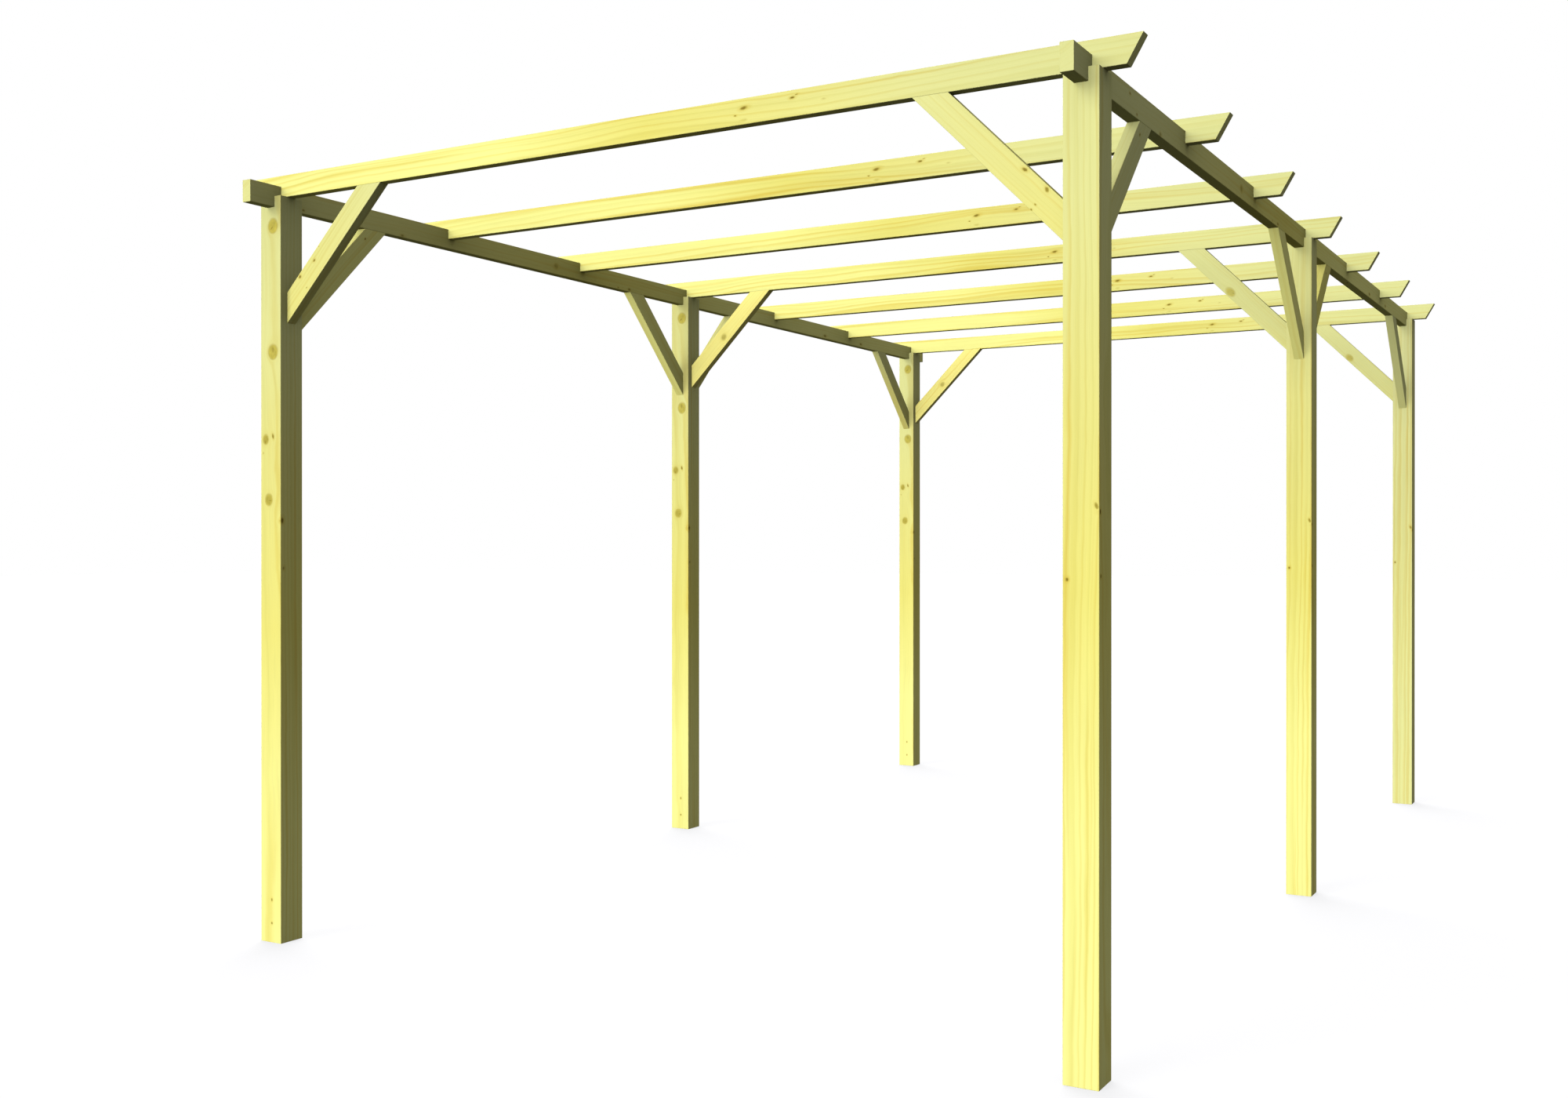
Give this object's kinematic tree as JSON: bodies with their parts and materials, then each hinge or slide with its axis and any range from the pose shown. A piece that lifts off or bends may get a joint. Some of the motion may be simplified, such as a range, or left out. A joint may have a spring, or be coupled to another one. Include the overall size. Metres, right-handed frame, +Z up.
{
  "type": "wooden pergola",
  "caption": "Free-standing wooden garden pergola: forked square posts carry two long beams, notched rafters lie across them, and short braces stiffen the corners.",
  "frame": {"origin": "on the ground, in the middle of the six posts", "axes": "+X to the right along the rafters, +Y to the back along the beams, +Z up"},
  "size_m": [3, 5, 2.47],
  "materials": {
    "post_timber": "sawn softwood, pressure-treated, pale yellow-green, matt",
    "beam_timber": "sawn softwood, pressure-treated, pale yellow-green, matt",
    "rafter_timber": "sawn softwood, pressure-treated, pale yellow-green, matt",
    "brace_timber": "sawn softwood, pressure-treated, pale yellow-green, matt"
  },
  "bodies": {
    "root": {"post_front_left": "post_timber", "post_front_right": "post_timber", "post_middle_left": "post_timber", "post_middle_right": "post_timber", "post_back_left": "post_timber", "post_back_right": "post_timber", "beam_left": "beam_timber", "beam_right": "beam_timber", "rafter_1": "rafter_timber", "rafter_2": "rafter_timber", "rafter_3": "rafter_timber", "rafter_4": "rafter_timber", "rafter_5": "rafter_timber", "rafter_6": "rafter_timber", "rafter_7": "rafter_timber", "rafter_brace_front_left": "brace_timber", "rafter_brace_front_right": "brace_timber", "rafter_brace_middle_left": "brace_timber", "rafter_brace_middle_right": "brace_timber", "rafter_brace_back_left": "brace_timber", "rafter_brace_back_right": "brace_timber", "beam_brace_front_left": "brace_timber", "beam_brace_front_right": "brace_timber", "beam_brace_middle_left_forward": "brace_timber", "beam_brace_middle_left_backward": "brace_timber", "beam_brace_middle_right_forward": "brace_timber", "beam_brace_middle_right_backward": "brace_timber", "beam_brace_back_left": "brace_timber", "beam_brace_back_right": "brace_timber"}
  },
  "joints": []
}
